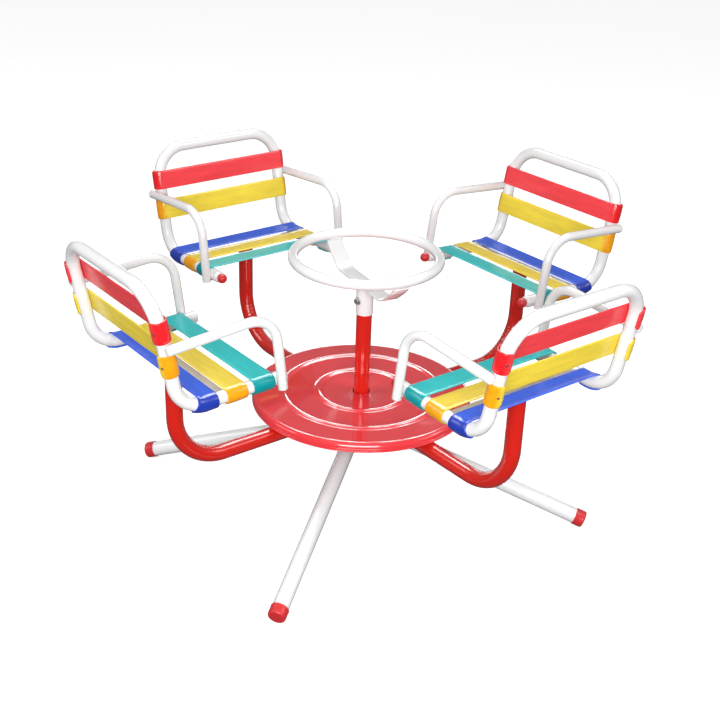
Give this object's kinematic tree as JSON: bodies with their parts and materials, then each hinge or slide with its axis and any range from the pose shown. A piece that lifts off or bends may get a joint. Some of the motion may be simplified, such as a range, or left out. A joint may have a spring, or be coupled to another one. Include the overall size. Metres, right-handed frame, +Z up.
{
  "type": "garden merry-go-round",
  "caption": "Children's garden carousel of bent steel tube: seats with coloured straps on arms round a pressed disc, turning about a fixed pole with a hand wheel.",
  "frame": {"origin": "on the ground under the centre pole's axis", "axes": "+Z up along the pole; the seats lie on the X and Y axes at rest, and the front seat is at -Y"},
  "size_m": [1.2572, 1.2572, 0.7139],
  "materials": {
    "white_paint": "gloss paint",
    "red_paint": "gloss paint",
    "disc_enamel": "high gloss paint",
    "red_plastic": "satin moulded plastic",
    "red_vinyl": "glossy soft vinyl",
    "yellow_vinyl": "glossy soft vinyl",
    "blue_vinyl": "glossy soft vinyl",
    "teal_vinyl": "glossy soft vinyl",
    "zinc": "bright zinc plate"
  },
  "bodies": {
    "base": {"base_frame": "white_paint", "leg_cap_1": "red_plastic", "leg_cap_2": "red_plastic", "leg_cap_3": "red_plastic", "leg_cap_4": "red_plastic", "pole": "red_paint", "wheel_socket": "white_paint", "clamp_bolt": "zinc", "wheel_spoke": "white_paint", "wheel_rim": "white_paint"},
    "rotor": {"rotor_hub": "red_paint", "disc": "disc_enamel", "arm_front": "red_paint", "seat_frame_front": "white_paint", "seat_strap_teal_front": "teal_vinyl", "seat_strap_yellow_front": "yellow_vinyl", "seat_strap_blue_front": "blue_vinyl", "back_strap_yellow_front": "yellow_vinyl", "back_strap_red_front": "red_vinyl", "armrest_left_front": "white_paint", "armrest_right_front": "white_paint", "arm_right": "red_paint", "seat_frame_right": "white_paint", "seat_strap_teal_right": "teal_vinyl", "seat_strap_yellow_right": "yellow_vinyl", "seat_strap_blue_right": "blue_vinyl", "back_strap_yellow_right": "yellow_vinyl", "back_strap_red_right": "red_vinyl", "armrest_left_right": "white_paint", "armrest_right_right": "white_paint", "rail_cap_left_right": "red_plastic", "rail_cap_right_right": "red_plastic", "arm_rear": "red_paint", "seat_frame_rear": "white_paint", "seat_strap_teal_rear": "teal_vinyl", "seat_strap_yellow_rear": "yellow_vinyl", "seat_strap_blue_rear": "blue_vinyl", "back_strap_yellow_rear": "yellow_vinyl", "back_strap_red_rear": "red_vinyl", "armrest_left_rear": "white_paint", "armrest_right_rear": "white_paint", "rail_cap_left_rear": "red_plastic", "rail_cap_right_rear": "red_plastic", "arm_left": "red_paint", "seat_frame_left": "white_paint", "seat_strap_teal_left": "teal_vinyl", "seat_strap_yellow_left": "yellow_vinyl", "seat_strap_blue_left": "blue_vinyl", "back_strap_yellow_left": "yellow_vinyl", "back_strap_red_left": "red_vinyl", "armrest_left_left": "white_paint", "armrest_right_left": "white_paint", "rail_cap_left_left": "red_plastic", "rail_cap_right_left": "red_plastic"}
  },
  "joints": [
    {"name": "rotor_spin", "type": "hinge", "parent": "base", "child": "rotor", "pos_m": [0, 0, 0.258], "axis": [0, 0, 1], "continuous": true}
  ]
}
